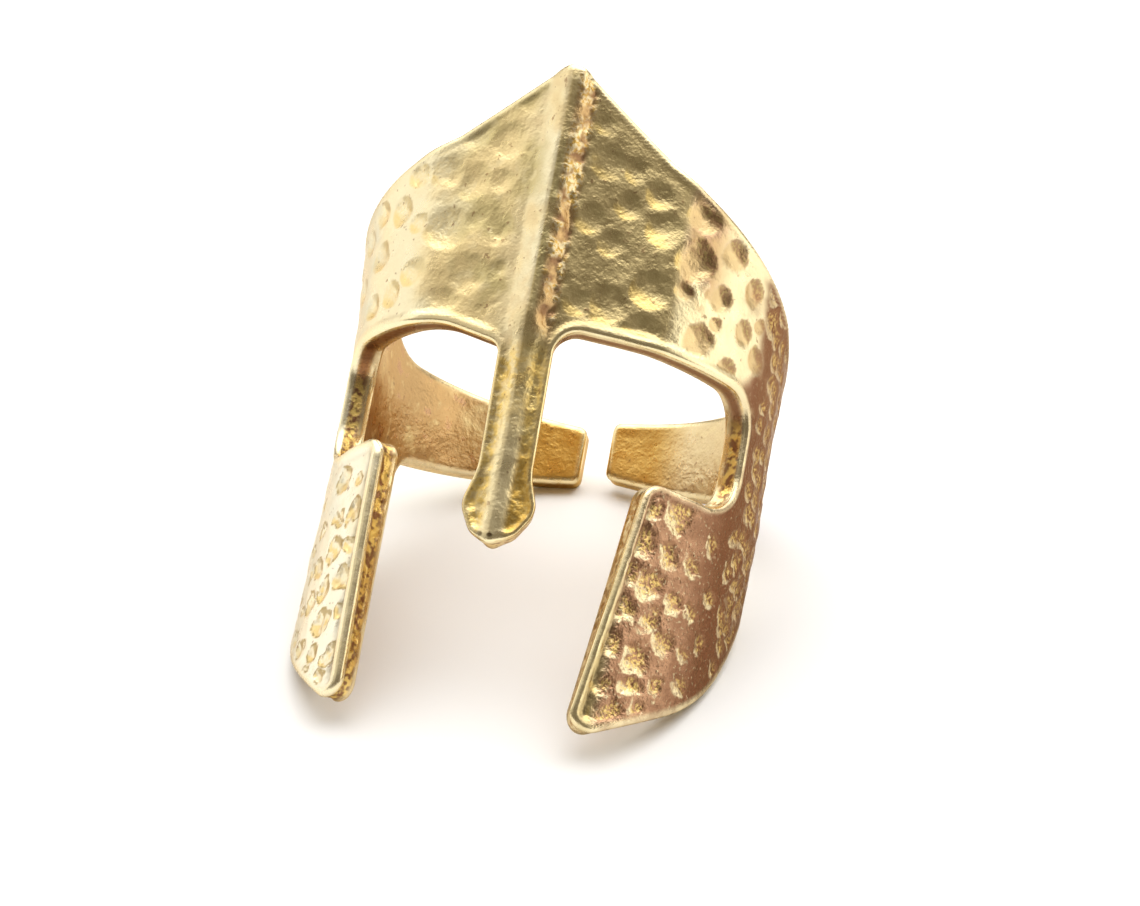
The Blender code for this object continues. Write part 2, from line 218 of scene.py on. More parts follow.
def half_outline(half):
    """Corners of one half, from the peak to the nose tip: along, up, radius, rim rise, rim width.

    The rim belongs to the edge that starts at the corner.
    """
    end = band_end()
    own = HALVES[half]
    front = CHEEK_FRONT * (1 + own["cheek front, turn"])
    tip = CHEEK_FRONT * (1 - own["cheek front, turn"]) - CHEEK_TOE_IN
    cheek_step = own["eye height, cheek step"] * EYE_HEIGHT
    end_rise = own["band width, end"] * BAND_WIDTH
    temple, shoulder = own["crown rise, temple"], own["crown rise, shoulder"]
    brow, fillet = own["eye height, brow"], own["nose width, brow fillet"]
    neck, spade = own["nose width, neck"] * NOSE_WIDTH, own["spade width, spade"] * SPADE_WIDTH
    return [
        (0.0, PEAK, 0.9, 0.06, 0.35),
        (0.53 * EYE_REACH, BROW + shoulder * CROWN_RISE, 15.0, 0.06, 0.35),
        (EYE_REACH + 0.53 * SIDE_WIDTH, BROW + temple * CROWN_RISE, 4.0, 0.04, 0.30),
        (SIDE_REAR + 0.33 * SIDE_WIDTH, 0.77 * BAND_WIDTH, 4.0, 0.0, 0.30),
        (end, 0.5 * BAND_WIDTH + end_rise, 0.5, 0.0, 0.30),
        (end, -0.5 * BAND_WIDTH + end_rise, 0.5, 0.0, 0.30),
        (SIDE_REAR + 0.55 * SIDE_WIDTH, -0.97 * BAND_WIDTH, 1.2, 0.0, 0.30),
        (SIDE_REAR, EYE_FLOOR - 0.29 * CHEEK_LENGTH, 4.0, 0.04, 0.35),
        (1.03 * EYE_REACH, EYE_FLOOR - 0.72 * CHEEK_LENGTH, 12.0, 0.05, 0.40),
        (tip, EYE_FLOOR - CHEEK_LENGTH, 0.9, 0.24, CHEEK_BEAD[half]),
        (front, EYE_FLOOR + cheek_step, 0.9, 0.16, 0.9 * CHEEK_BEAD[half]),
        (EYE_REACH, EYE_FLOOR, 2.2, 0.10, 0.35),
        (EYE_REACH, BROW - 0.05 * EYE_HEIGHT, 2.0, 0.12, 0.50),
        (0.36 * EYE_REACH, BROW + 0.03 * EYE_HEIGHT, 5.0, 0.12, 0.50),
        (neck, BROW + brow * EYE_HEIGHT, fillet * NOSE_WIDTH, 0.10, 0.24),
        (neck, BROW - 0.66 * NOSE_LENGTH, 3.0, 0.10, 0.24),
        (spade, BROW - 0.82 * NOSE_LENGTH, 1.2, 0.10, 0.24),
        (0.58 * spade, BROW - 0.94 * NOSE_LENGTH, 1.0, 0.12, 0.30),
        (0.0, NOSE_TIP, 0.6, 0.12, 0.30),
    ]


def whole_outline():
    """The closed outline: the right half, then the left one back from the nose to the peak."""
    right, mirrored = half_outline("right"), half_outline("left")
    left = []
    for i in range(len(mirrored) - 2, 0, -1):
        along, up, radius = mirrored[i][:3]
        left.append((-along, up, radius) + mirrored[i - 1][3:])
    nose = right[-1][:3] + right[-2][3:]
    return right[:-1] + [nose] + left


def corner_arc(before, corner, after, radius):
    """Points of the arc that rounds one corner, kept within half of each edge."""
    to_before = (before - corner) / np.linalg.norm(before - corner)
    to_after = (after - corner) / np.linalg.norm(after - corner)
    half_angle = math.acos(np.clip(to_before @ to_after, -1, 1)) / 2
    room = 0.48 * min(np.linalg.norm(before - corner), np.linalg.norm(after - corner))
    reach = min(radius / math.tan(half_angle), room)
    radius = reach * math.tan(half_angle)
    middle = to_before + to_after
    centre = corner + middle / np.linalg.norm(middle) * radius / math.sin(half_angle)
    first, last = corner + to_before * reach - centre, corner + to_after * reach - centre
    start = math.atan2(first[1], first[0])
    turn = (math.atan2(last[1], last[0]) - start + math.pi) % (2 * math.pi) - math.pi
    steps = max(4, round(abs(turn) * radius / ARC_STEP), round(abs(turn) / math.radians(12)))
    angles = [start + turn * i / steps for i in range(steps + 1)]
    return [centre + radius * np.array([math.cos(a), math.sin(a)]) for a in angles]


def outline_points():
    """The outline with its corners rounded, and the rim's rise and width at each point."""
    corners = whole_outline()
    points, rims = [], []
    for i, (along, up, radius, *rim) in enumerate(corners):
        before, after = corners[i - 1], corners[(i + 1) % len(corners)]
        arc = corner_arc(np.array(before[:2]), np.array([along, up]), np.array(after[:2]), radius)
        points += arc
        rims += list(np.linspace(before[3:], rim, len(arc)))
    return np.array(points), np.array(rims)


def nearest_edge(places):
    """For each place on the blank: distance to the outline, way in from the edge, rim rise and width."""
    points, rims = outline_points()
    distance = np.full(len(places), np.inf)
    inward = np.zeros((len(places), 2))
    rim = np.zeros((len(places), 2))
    for a, b, rim_a, rim_b in zip(points, np.roll(points, -1, axis=0), rims, np.roll(rims, -1, axis=0)):
        along = b - a
        length = np.linalg.norm(along)
        if length < 1e-9:
            continue
        near = np.abs(places - (a + b) / 2).max(1) < np.minimum(distance, 40.0) + length
        index = np.nonzero(near)[0]
        away = places[index] - a
        share = np.clip(away @ along / length**2, 0, 1)
        gap = np.linalg.norm(away - share[:, None] * along, axis=1)
        closer = gap < distance[index]
        index, share = index[closer], share[closer]
        distance[index] = gap[closer]
        inward[index] = (along[1] / length, -along[0] / length)
        rim[index] = rim_a + share[:, None] * (rim_b - rim_a)
    return distance, inward, rim[:, 0], rim[:, 1]


def waves(along, up, size, seed):
    """Smooth noise from -1 to 1 whose bumps are about size wide."""
    count = 256
    table = np.random.default_rng(seed).uniform(-1, 1, (count, count))
    x, y = (along + 0.37 * up) / size + 128.0, (up - 0.37 * along) / size + 128.0
    i, j = np.floor(x).astype(int), np.floor(y).astype(int)
    fx, fy = x - i, y - j
    fx, fy = fx * fx * (3 - 2 * fx), fy * fy * (3 - 2 * fy)

    def at(right, above):
        return table[(i + right) % count, (j + above) % count]

    low = at(0, 0) * (1 - fx) + at(1, 0) * fx
    high = at(0, 1) * (1 - fx) + at(1, 1) * fx
    return low * (1 - fy) + high * fy


def ramp(value, start, end):
    """0 before start, 1 after end, smooth between them."""
    t = np.clip((value - start) / (end - start), 0, 1)
    return t * t * (3 - 2 * t)


def grain(along, up, size, seed):
    """Noise from -1 to 1 whose bumps are about size wide and of uneven shape."""
    a = along + 0.6 * size * waves(along, up, 1.3 * size, seed + 50)
    u = up + 0.6 * size * waves(along, up, 1.3 * size, seed + 51)
    return 0.65 * waves(a, u, size, seed) + 0.35 * waves(u, a, 0.47 * size, seed + 52)


def scattered_dents():
    """Small dents over the rear sides, where no chart reaches."""
    chance = np.random.default_rng(5)
    shake = REAR_DENTS_SHAKE
    marks = []
    for side in (-1, 1):
        for row in range(REAR_DENTS_ROWS):
            for column in range(REAR_DENTS_COLUMNS):
                along = REAR_DENTS_FIRST[0] + REAR_DENTS_STEP[0] * column + chance.uniform(-shake, shake)
                up = REAR_DENTS_FIRST[1] - REAR_DENTS_STEP[1] * row + chance.uniform(-shake, shake)
                radius = chance.uniform(*REAR_DENTS_RADIUS)
                marks.append((side * along, up, radius, chance.uniform(*REAR_DENTS_DEPTH)))
    return marks


def left_cheek_dents():
    shift_along, shift_up = LEFT_CHEEK_SHIFT
    marks = []
    for along, up, radius, depth in CHEEK_DENTS:
        marks.append((shift_along - along, up + shift_up, radius * LEFT_CHEEK_SIZE, depth))
    return marks


def all_dents():
    charted = CROWN_DENTS_RIGHT + CROWN_DENTS_LEFT + CHEEK_DENTS
    return np.array(charted + left_cheek_dents() + scattered_dents())


def on_cheek(along, up):
    """1 on the cheek guards, 0 on the rest."""
    return ramp(np.abs(along), 5.0, 5.6) * ramp(-up, 4.5, 6.0)


def dented(along, up):
    """Depth of the hammer marks, and how deep in a mark each place lies, from 0 to 1."""
    cheek = on_cheek(along, up)
    shake = DENT_WARP + CHEEK_WARP * cheek
    a = along + shake * grain(along, up, DENT_WARP_WIDTH, 31)
    u = up + shake * grain(along, up, DENT_WARP_WIDTH, 32)
    depth, inside = np.zeros(len(along)), np.zeros(len(along))
    for mark_a, mark_u, radius, mark_depth in all_dents():
        radius *= DENT_SPREAD
        index = np.nonzero((np.abs(a - mark_a) < radius) & (np.abs(u - mark_u) < radius))[0]
        apart = np.hypot(a[index] - mark_a, u[index] - mark_u) / radius
        cup = np.clip(1 - apart**2, 0, 1) ** DENT_CUP
        depth[index] = np.maximum(depth[index], mark_depth * cup)
        inside[index] = np.maximum(inside[index], cup)
    return depth, inside


def shaded_wall(along, up):
    """1 on the wall of a dent that DENT_SHADE_WAY points at, -1 on the wall it comes from; the brass paints
    shade on the first and a highlight on the second.
    """
    step_a, step_u = DENT_PROBE * DENT_SHADE_WAY[0], DENT_PROBE * DENT_SHADE_WAY[1]
    ahead, behind = dented(along + step_a, up + step_u)[0], dented(along - step_a, up - step_u)[0]
    return np.clip((behind - ahead) / (2 * DENT_PROBE) / STEEPEST_WALL, -1, 1)


def ridge_rise(along, up):
    """The ridge from the peak to the brow, and the lower, rounder keel down the nose guard."""
    nose = ramp(-up, -1.2, 0.6)
    wander = RIDGE_WANDER * grain(along * 0.2, up, 0.6, 12)
    straight = np.clip((along - RIDGE_FOOT[0]) / (RIDGE_TOP[0] - RIDGE_FOOT[0]), 0, 1)
    left = straight**RIDGE_HOLLOW
    right = 1 - ramp(along, RIDGE_TOP[1], RIDGE_FOOT[1] + wander)
    middle, half, rise = NOSE_KEEL
    keel = rise * (0.5 + 0.5 * np.cos(math.pi * np.clip((along - middle) / half, -1, 1)))
    return (1 - nose) * RIDGE_RISE * np.minimum(left, right) + nose * keel


def rough_flank(along, up):
    """1 on the ridge's rough right flank, 0 on the rest."""
    flank = ramp(along, RIDGE_TOP[1] - 0.02, RIDGE_TOP[1] + 0.12)
    flank *= ramp(-along, -RIDGE_FOOT[1] - 0.3, -RIDGE_FOOT[1])
    return flank * ramp(up, -0.5, 1.2)


def relief(along, up, distance, rim_rise, rim_width):
    """Rise of the outer face over the plain wall, and the masks that the brass reads."""
    depth, inside = dented(along, up)
    body = ramp(distance, 0.9 * rim_width, 1.7 * rim_width)
    keel = ridge_rise(along, up)
    plain = 1 - ramp(keel, 0.0, 0.12)
    smooth = ramp(along, *SMOOTH_PLATE[0]) * ramp(-along, *SMOOTH_PLATE[1]) * ramp(up, *ABOVE_BROW)
    soft = WAVE_HEIGHT * waves(along, up, WAVE_WIDTH, 3) + LUMP_HEIGHT * grain(along, up, LUMP_WIDTH, 4)
    soft *= 1 - 0.45 * smooth
    fine = PLAIN_GRAIN + CHEEK_GRAIN * on_cheek(along, up) + DENT_GRAIN * inside
    fine *= grain(along, up, GRAIN_WIDTH, 5)
    pitted = ramp(-along, *PITTED_STRIP[1]) * ramp(along, *PITTED_STRIP[0]) * ramp(up, *ABOVE_BROW)
    pits = PIT_DEPTH * np.clip(grain(along, up, PIT_WIDTH, 14) - 0.32, 0, 1) * (0.5 + pitted)
    flank = rough_flank(along, up)
    spark = grain(along, up, FLANK_WIDTH, 7)
    sparkle = flank * (FLANK_HEIGHT * spark + FLANK_GRAIN_HEIGHT * grain(along, up, FLANK_GRAIN_WIDTH, 8))
    t = np.clip(distance / rim_width, 0, 2)
    bead = rim_rise * np.clip(1 - (t - 0.5) ** 2 * 1.6, 0, 1) * (t < BEAD_END)
    from_groove = distance - BEAD_END * rim_width - 0.10
    groove = ramp(rim_rise, 0.15, 0.18) * np.exp(-(from_groove / GROOVE_WIDTH) ** 2)
    rise = np.maximum(keel, bead) + sparkle - GROOVE_DEPTH * groove
    rise += (soft + fine - pits - depth * plain) * body
    # The shade mask tells the brass where to paint shade and highlights on the dents' walls.
    masks = {"dent": inside * body, "shade": shaded_wall(along, up) * body, "groove": groove,
             "flank": flank, "spark": flank * ramp(spark, -0.15, 0.25)}
    return rise - nose_hollow(along, up, distance, keel), masks


def nose_hollow(along, up, distance, keel):
    """The grainy troughs between the nose guard's keel and its rims."""
    on_nose = ramp(-up, -0.6, 1.0) * (np.abs(along) < SPADE_WIDTH / 2 + 0.1) * (up > NOSE_TIP)
    trough = ramp(distance, 0.20, 0.60) * (1 - ramp(keel, 0.02, 0.22))
    trough *= ramp(up, NOSE_TIP + 0.4, NOSE_TIP + 1.3)
    return on_nose * trough * (HOLLOW_DEPTH + HOLLOW_GRAIN * grain(along, up, GRAIN_WIDTH, 9))


def bend(along, up, out):
    """Places of the blank's points once it is bent."""
    side = np.where(along < 0, -1.0, 1.0)
    reach = MIDDLE - CREASE_RADIUS
    crease_x, crease_y = reach * math.sin(SIDE_ANGLE), -reach * math.cos(SIDE_ANGLE)
    run = np.abs(along)
    back = np.clip(PLATE - run, 0, None)
    in_crease = np.clip(run - PLATE, 0, CREASE_END - PLATE)
    past = np.clip(run - CREASE_END, 0, None)
    angle = PLATE_ANGLE * np.minimum(1.0, run / RIDGE_TURN) + in_crease / CREASE_RADIUS + past / MIDDLE
    bent = np.where(run < PLATE, PLATE_ANGLE, angle)
    x = np.where(past > 0, MIDDLE * np.sin(bent), crease_x + CREASE_RADIUS * np.sin(bent))
    y = np.where(past > 0, -MIDDLE * np.cos(bent), crease_y - CREASE_RADIUS * np.cos(bent))
    x = x - back * math.cos(PLATE_ANGLE)
    y = y - back * math.sin(PLATE_ANGLE) - KEEL_LEAN * up * back / PLATE
    flare = np.where(side > 0, HALVES["right"]["crown flare"], HALVES["left"]["crown flare"])
    x = x + flare * np.clip(up, 0, None) * np.sin(bent) ** 2 + out * np.sin(angle)
    bow = KEEL_BOW * np.clip(up / PEAK, 0, None) * back / PLATE
    slant = CHEEK_SLANT * np.clip(EYE_FLOOR - up, 0, None)
    return np.column_stack([side * x + bow - slant, y - out * np.cos(angle), up])


def thick_blank():
    """The blank as an even skin of small squares, in millimetres."""
    points, _ = outline_points()
    bm = bmesh.new()
    face = bm.faces.new([bm.verts.new((x, y, -WALL / 2)) for x, y in points])
    grown = bmesh.ops.extrude_face_region(bm, geom=[face])["geom"]
    top = [part for part in grown if isinstance(part, bmesh.types.BMVert)]
    bmesh.ops.translate(bm, vec=(0, 0, WALL), verts=top)
    bmesh.ops.recalc_face_normals(bm, faces=bm.faces)
    mesh = bpy.data.meshes.new("blank")
    bm.to_mesh(mesh)
    bm.free()
    blank = bpy.data.objects.new("blank", mesh)
    bpy.context.scene.collection.objects.link(blank)
    remesh = blank.modifiers.new("even skin", "REMESH")
    remesh.mode = "VOXEL"
    remesh.voxel_size = VOXEL
    return baked(blank)


def baked(obj):
    """The object's mesh with its modifiers applied; the object itself is removed."""
    graph = bpy.context.evaluated_depsgraph_get()
    mesh = bpy.data.meshes.new_from_object(obj.evaluated_get(graph))
    bpy.data.objects.remove(obj)
    return mesh


def rounded_wall(places, distance, inward):
    """Snaps the skin to the outline and rounds its outer and inner edges."""
    plan, depth = places[:, :2].copy(), places[:, 2].copy()
    below_outer = np.clip(WALL / 2 - depth, 0, WALL)
    above_inner = WALL - below_outer
    new_distance = distance.copy()
    for gap, radius, sign in ((below_outer, EDGE_ROUND, 1), (above_inner, INNER_ROUND, -1)):
        corner = (distance < radius) & (gap < radius)
        across, down = radius - distance[corner], radius - gap[corner]
        length = np.hypot(across, down)
        new_distance[corner] = radius - across * radius / length
        depth[corner] = sign * (WALL / 2 - radius + down * radius / length)
    wall = (below_outer > EDGE_ROUND) & (above_inner > INNER_ROUND) & (distance < 2 * VOXEL)
    new_distance[wall] = 0
    cut = wall * ramp(below_outer, EDGE_ROUND, EDGE_ROUND + 0.15) * ramp(above_inner, INNER_ROUND, 0.5)
    plan += inward * (new_distance - distance + cut * cut_face(plan, below_outer))[:, None]
    return plan, depth, new_distance, cut


def cut_face(plan, below_outer):
    """How far the cut edge falls back: a groove under the bead, then a rough sawn face."""
    cheek = on_cheek(plan[:, 0], plan[:, 1])
    groove = CUT_GROOVE_DEPTH * np.exp(-((below_outer - CUT_GROOVE) / CUT_GROOVE_WIDTH) ** 2)
    rough = SAWN_DEPTH + SAWN_GRAIN * grain(plan[:, 0] + plan[:, 1], 1.3 * below_outer, 0.45, 17)
    sawn = rough * ramp(below_outer, CUT_GROOVE, CUT_GROOVE + 0.12)
    return cheek * (groove + sawn) + PLAIN_CUT * (1 - cheek)


def ring_mesh():
    mesh = thick_blank()
    count = len(mesh.vertices)
    flat = np.empty(count * 3)
    mesh.vertices.foreach_get("co", flat)
    flat = flat.reshape(-1, 3)
    distance, inward, rim_rise, rim_width = nearest_edge(flat[:, :2])
    plan, depth, distance, cut = rounded_wall(flat, distance, inward)
    along, up = plan[:, 0], plan[:, 1]
    rise, masks = relief(along, up, distance, rim_rise, rim_width)
    share = np.clip(depth / WALL + 0.5, 0, 1)
    inner_waves = INNER_WAVE_HEIGHT * waves(along, up, INNER_WAVE_WIDTH, 21)
    inner_waves += INNER_LUMP_HEIGHT * grain(along, up, INNER_LUMP_WIDTH, 22)
    out = depth + rise * share - inner_waves * (1 - share) * ramp(distance, 0.1, 0.8)
    mesh.vertices.foreach_set("co", bend(along, up, out).ravel())
    outer = ramp(share, 0.55, 0.95)
    masks = {name: values * outer for name, values in masks.items()}
    masks["edge"] = (1 - ramp(distance, 0.5 * rim_width, 1.2 * rim_width)) * (1 - cut)
    masks.update({"blank_along": along, "blank_up": up, "outer": outer, "cut": cut})
    for name, values in masks.items():
        mesh.attributes.new(name, "FLOAT", "POINT").data.foreach_set("value", values.astype(np.float32))
    return mesh


def resting_place():
    """Turns and moves the ring, in metres, so that its finger hole is where the frame has it."""
    mount = next(m for m in frame["record"]["mounts"] if m["name"] == "finger")
    axis = Vector(mount["axis"])
    lean = math.atan2(axis.y, axis.z)
    return Matrix.Translation(mount["pos_m"]) @ Matrix.Rotation(-lean, 4, "X") @ Matrix.Scale(MM, 4)


class Finish:
    """A metal's shader tree, with short calls for the few nodes that it is painted with."""

    def __init__(self, name):
        self.material = bpy.data.materials.new(name)
        self.material.use_nodes = True
        self.tree = self.material.node_tree
        self.shader = self.tree.nodes["Principled BSDF"]
        self.place = self.tree.nodes.new("ShaderNodeTexCoord").outputs["Object"]

    def put(self, socket, value):
        if isinstance(value, bpy.types.NodeSocket):
            self.tree.links.new(value, socket)
        else:
            socket.default_value = value

    def mask(self, name):
        made = self.tree.nodes.new("ShaderNodeAttribute")
        made.attribute_name = name
        return made.outputs["Fac"]

    def noise(self, size, detail=2.0):
        """Cloudy noise, 0 to 1, whose clouds are about size millimetres wide."""
        scaled = self.tree.nodes.new("ShaderNodeMapping")
        scaled.inputs["Scale"].default_value = [1 / (size * MM)] * 3
        self.put(scaled.inputs["Vector"], self.place)
        made = self.tree.nodes.new("ShaderNodeTexNoise")
        made.inputs["Scale"].default_value = 1.0
        made.inputs["Detail"].default_value = detail
        self.put(made.inputs["Vector"], scaled.outputs["Vector"])
        return made.outputs["Fac"]

    def span(self, value, low, high, to_low=0.0, to_high=1.0):
        """The value from low to high, spread smoothly over to_low to to_high."""
        made = self.tree.nodes.new("ShaderNodeMapRange")
        made.interpolation_type = "SMOOTHSTEP"
        for name, given in zip(("Value", "From Min", "From Max", "To Min", "To Max"),
                               (value, low, high, to_low, to_high)):
            self.put(made.inputs[name], given)
        return made.outputs["Result"]

    def math(self, operation, a, b):
        made = self.tree.nodes.new("ShaderNodeMath")
        made.operation = operation
        self.put(made.inputs[0], a)
        self.put(made.inputs[1], b)
        return made.outputs["Value"]

    def times(self, first, *others):
        """All the values multiplied together."""
        for value in others:
            first = self.math("MULTIPLY", first, value)
        return first

    def mix(self, share, a, b):
        made = self.tree.nodes.new("ShaderNodeMix")
        made.data_type = "RGBA"
        self.put(made.inputs["Factor"], share)
        self.put(made.inputs[6], a)
        self.put(made.inputs[7], b)
        return made.outputs[2]

    def blend(self, value, low, high, first, last):
        """The first tone where the value is low, the last one where it is high."""
        return self.mix(self.span(value, low, high), first, last)

    def bump(self, height, distance, strength, under=None):
        made = self.tree.nodes.new("ShaderNodeBump")
        made.inputs["Distance"].default_value = distance * MM
        made.inputs["Strength"].default_value = strength
        self.put(made.inputs["Height"], height)
        if under is not None:
            self.put(made.inputs["Normal"], under)
        return made.outputs["Normal"]


# Brass tones; those named for reflection, highlight or shade are painted light.
PALE_BRASS = (0.90, 0.78, 0.48, 1)
GOLD_BRASS = (0.80, 0.64, 0.33, 1)
OLIVE_BRASS = (0.58, 0.48, 0.23, 1)
WHITE_REFLECTION = (0.94, 0.89, 0.72, 1)
IVORY_HIGHLIGHT = (0.93, 0.85, 0.60, 1)
COOL_REFLECTION = (0.66, 0.68, 0.58, 1)
COPPER_TONE_AND_REFLECTION = (0.50, 0.29, 0.17, 1)
YELLOW_BRASS = (0.86, 0.62, 0.20, 1)
DEEP_GOLD = (0.66, 0.42, 0.10, 1)
TAN_GOLD = (0.70, 0.52, 0.26, 1)
TAN_BRASS = (0.54, 0.35, 0.16, 1)
RED_REFLECTION = (0.38, 0.21, 0.12, 1)
DARK_REFLECTION = (0.18, 0.075, 0.037, 1)
BROWN_TARNISH_AND_SHADE = (0.27, 0.14, 0.07, 1)
OLIVE_SHADE = (0.40, 0.29, 0.11, 1)
CREVICE_SHADE = (0.14, 0.09, 0.04, 1)
GRAZING_TINT = (0.80, 0.68, 0.55, 1)  # brass seen at a grazing angle

# Between these places a coat fades in, or thins out where its name says so, in millimetres along
# the blank or up it.
RIGHT_PLATE = (0.2, 0.9)
LEFT_FLANK_STARTS = (-2.0, -0.4)
LEFT_FLANK_ENDS = (0.06, -0.02)
RIGHT_CREASE = (6.2, 6.8)
SADDLE_ALONG = (9.6, 7.8)            # the patch of painted shade where the crown turns to its side
SADDLE_UP = (3.4, 4.8)
WARM_REFLECTION_UP = (0.6, -1.0)
WARM_REFLECTION_REAR = (11.0, 13.0)
DARK_REFLECTION_ALONG = (8.8, 12.4)
GLINTS_THIN_OUT = (9.0, 13.0)
LIT_FLOOR_THINS_OUT = (8.0, 11.0)
LEFT_SIDE = (-4.0, -7.6)
LEFT_SIDE_UP = (3.0, -4.0)
WHITE_REFLECTION_UP = (1.0, -4.0)
COOL_REFLECTION_STARTS = (-9.0, -11.0)
COOL_REFLECTION_ENDS = (-16.0, -13.0)
DENT_LINES_UP = (2.0, -4.0)
DENT_LINES_ALONG = (0.0, -3.0)
NOSE_UP = (0.2, -1.2)
NOSE_REACH = (3.0, 2.4)
NOSE_KEEL_REACH = (0.62, 0.30)
NOSE_KEEL_UP = (-1.5, -6.0)
DEEP_NOSE_ALONG = (0.1, 0.5)
DEEP_NOSE_UP = (-4.5, -6.0)
LIT_INSIDE = (14.0, 18.0)
CHEEK_CUT_UP = (-4.5, -5.5)
RIGHT_CUT = (-1.0, 1.0)
BROW_CUT_FOOT = (-1.6, -0.6)
BROW_CUT_TOP = (1.6, 1.0)
CROWN_CUT = (1.8, 3.2)
REAR_CUT = (14.0, 17.0)
BAND_ENDS = (25.5, 28.5)

# Two pits of painted shade in the nose guard's lip: along, up, radius.
LIP_PITS = ((-0.34, NOSE_TIP + 0.50, 0.17), (0.08, NOSE_TIP + 0.48, 0.14))

# Widths of the noise's clouds, and depths of its bumps, in millimetres.
CLOUD_SIZE, PATCH_SIZE, PORE_SIZE, SPECK_SIZE = 2.6, 0.9, 0.36, 0.17
PORE_DEPTH, SPECK_DEPTH = 0.045, 0.032
CLOUD_SHAKE, PATCH_SHAKE = 0.9, 0.7  # how far the noise moves a coat's borders along and up


